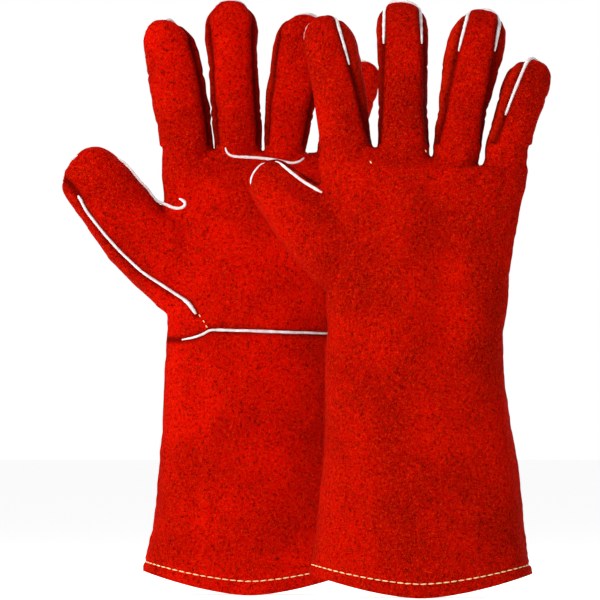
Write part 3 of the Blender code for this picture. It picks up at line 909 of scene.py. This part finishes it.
def makeKnots(s):
    # short tacks where a seam's thread is tied off
    bm = bmesh.new()
    face = gloves[s.side]["upperFace"]
    knot = Vector((0.0005, 0, -0.0007))
    for x, z in gloves[s.side]["knots"]:
        place = facePoint(s, x, z, face, lay["overTip"])
        addStitch(bm, place - knot, place + knot)
    piece = newObject(f"{s.side}_thread_knots", bm)
    piece.data.shade_smooth()
    dress(piece, "thread")
    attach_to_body(piece, "hands")


thread = {"radius": 0.00038, "stitch": 0.0040, "pitch": 0.0046, "rays": 240, "slip": 0.00025}


def addStitch(bm, a, b):
    along = b - a
    made = bmesh.ops.create_uvsphere(bm, u_segments=8, v_segments=5, radius=1)["verts"]
    turn = along.to_track_quat("Z", "Y").to_matrix().to_4x4()
    size = Matrix.Diagonal((thread["radius"], thread["radius"], along.length / 2, 1))
    bmesh.ops.transform(bm, matrix=Matrix.Translation((a + b) / 2) @ turn @ size, verts=made)


def stitchPath(bm, points):
    # even stitches along a line on the leather
    lengths = [0]
    for a, b in zip(points, points[1:]):
        lengths.append(lengths[-1] + (b - a).length)
    xs, ys, zs = zip(*points)
    count = int(lengths[-1] / thread["pitch"])
    for i in range(count):
        ends = []
        for at in (i * thread["pitch"], i * thread["pitch"] + thread["stitch"]):
            ends.append(Vector((np.interp(at, lengths, xs), np.interp(at, lengths, ys),
                                np.interp(at, lengths, zs))))
        slip = thread["slip"] * noise.noise(Vector((i * 0.9, lengths[-1], 0)))
        addStitch(bm, ends[0] + Vector((0, 0, slip)), ends[1] - Vector((0, 0, slip)))


def makeHemThread(s):
    x, _, wide, _ = across(s.body, 0)
    points = []
    for i in range(thread["rays"] + 1):
        turn = 2 * math.pi * i / thread["rays"]
        way = Vector((math.cos(turn), math.sin(turn), 0))
        z = hem["seam"] + hem["rise"]
        for _ in range(5):
            place = hit(s, Vector((x, s.y, z)) + way * lay["hemAway"], -way, lay["onFace"])
            if not place:
                break
            z = hem["seam"] + float(hemRise(place.x, x, wide)) * (1 - hem["seam"] / hem["fade"])
        points.append(place)
    bm = bmesh.new()
    stitchPath(bm, smoothPath([p for p in points if p], 3))
    piece = newObject(f"{s.side}_hem_thread", bm)
    piece.data.shade_smooth()
    dress(piece, "thread")
    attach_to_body(piece, "hands")


def buildGlove(side):
    s = measure(side)
    makeLeather(s)
    makeLining(s)
    for name in s.fingers:
        makeTipWelt(s, name)
    makeThumbWelt(s)
    makeSeamWelts(s)
    makeKnots(s)
    makeHemThread(s)
    print(side, "glove sewn")


for side in sideNames:
    buildGlove(side)


# floor, light and camera
studio = {"floorSize": 12, "floorColour": (0.80, 0.80, 0.80), "floorGlow": 0.72, "ambient": 0.36,
          "distance": 14.0, "view": (-0.0036, 0.1773), "width": 0.357, "elevation": 0.0}


def makeFloor():
    bm = bmesh.new()
    bmesh.ops.create_grid(bm, x_segments=1, y_segments=1, size=studio["floorSize"])
    floor = newObject("floor", bm)
    material, _, shader = nodeTree("pale floor")
    shader.inputs["Base Color"].default_value = (*studio["floorColour"], 1)
    shader.inputs["Roughness"].default_value = 0.9
    shader.inputs["Specular IOR Level"].default_value = 0.1
    shader.inputs["Emission Color"].default_value = (1, 1, 1, 1)
    shader.inputs["Emission Strength"].default_value = studio["floorGlow"]
    floor.data.materials.append(material)


def addSoftbox(name, place, target, size, power):
    light = bpy.data.lights.new(name, "AREA")
    light.shape = "SQUARE"
    light.size = size
    light.energy = power
    obj = bpy.data.objects.new(name, light)
    bpy.context.scene.collection.objects.link(obj)
    obj.location = place
    obj.rotation_euler = (Vector(target) - Vector(place)).to_track_quat("-Z", "Y").to_euler()


def makeWorld():
    world = bpy.data.worlds.new("studio")
    bpy.context.scene.world = world
    world.use_nodes = True
    tree = world.node_tree
    seen = tree.nodes["Background"]
    seen.inputs["Color"].default_value = (1, 1, 1, 1)
    seen.inputs["Strength"].default_value = 1
    lit = tree.nodes.new("ShaderNodeBackground")
    lit.inputs["Strength"].default_value = studio["ambient"]
    path = tree.nodes.new("ShaderNodeLightPath")
    mix = tree.nodes.new("ShaderNodeMixShader")
    tree.links.new(path.outputs["Is Camera Ray"], mix.inputs[0])
    tree.links.new(lit.outputs[0], mix.inputs[1])
    tree.links.new(seen.outputs[0], mix.inputs[2])
    tree.links.new(mix.outputs[0], tree.nodes["World Output"].inputs["Surface"])


def makeCamera():
    data = bpy.data.cameras.new("camera")
    data.sensor_width = 36
    data.lens = 36 * studio["distance"] / studio["width"]
    camera = bpy.data.objects.new("camera", data)
    bpy.context.scene.collection.objects.link(camera)
    x, z = studio["view"]
    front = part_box("right_back_panel")[0].y + 0.03
    tilt = math.radians(studio["elevation"])
    target = Vector((x, front, z))
    back = Vector((0, -math.cos(tilt), math.sin(tilt)))
    camera.location = target + back * studio["distance"]
    camera.rotation_euler = (-back).to_track_quat("-Z", "Y").to_euler()
    data.clip_end = 100
    bpy.context.scene.camera = camera


makeFloor()
makeWorld()
makeCamera()
addSoftbox("key", (-1.3, -1.2, 0.9), (0, 0, 0.18), 0.8, 36)
addSoftbox("fill", (1.5, -1.4, 0.7), (0, 0, 0.18), 1.2, 2)
addSoftbox("top", (-0.2, 0.1, 1.8), (0, 0, 0.1), 1.0, 12)
addSoftbox("rear", (0.8, 1.6, 1.0), (0, 0, 0.18), 1.0, 22)
bpy.context.scene.view_settings.view_transform = "Standard"
print("studio lit")
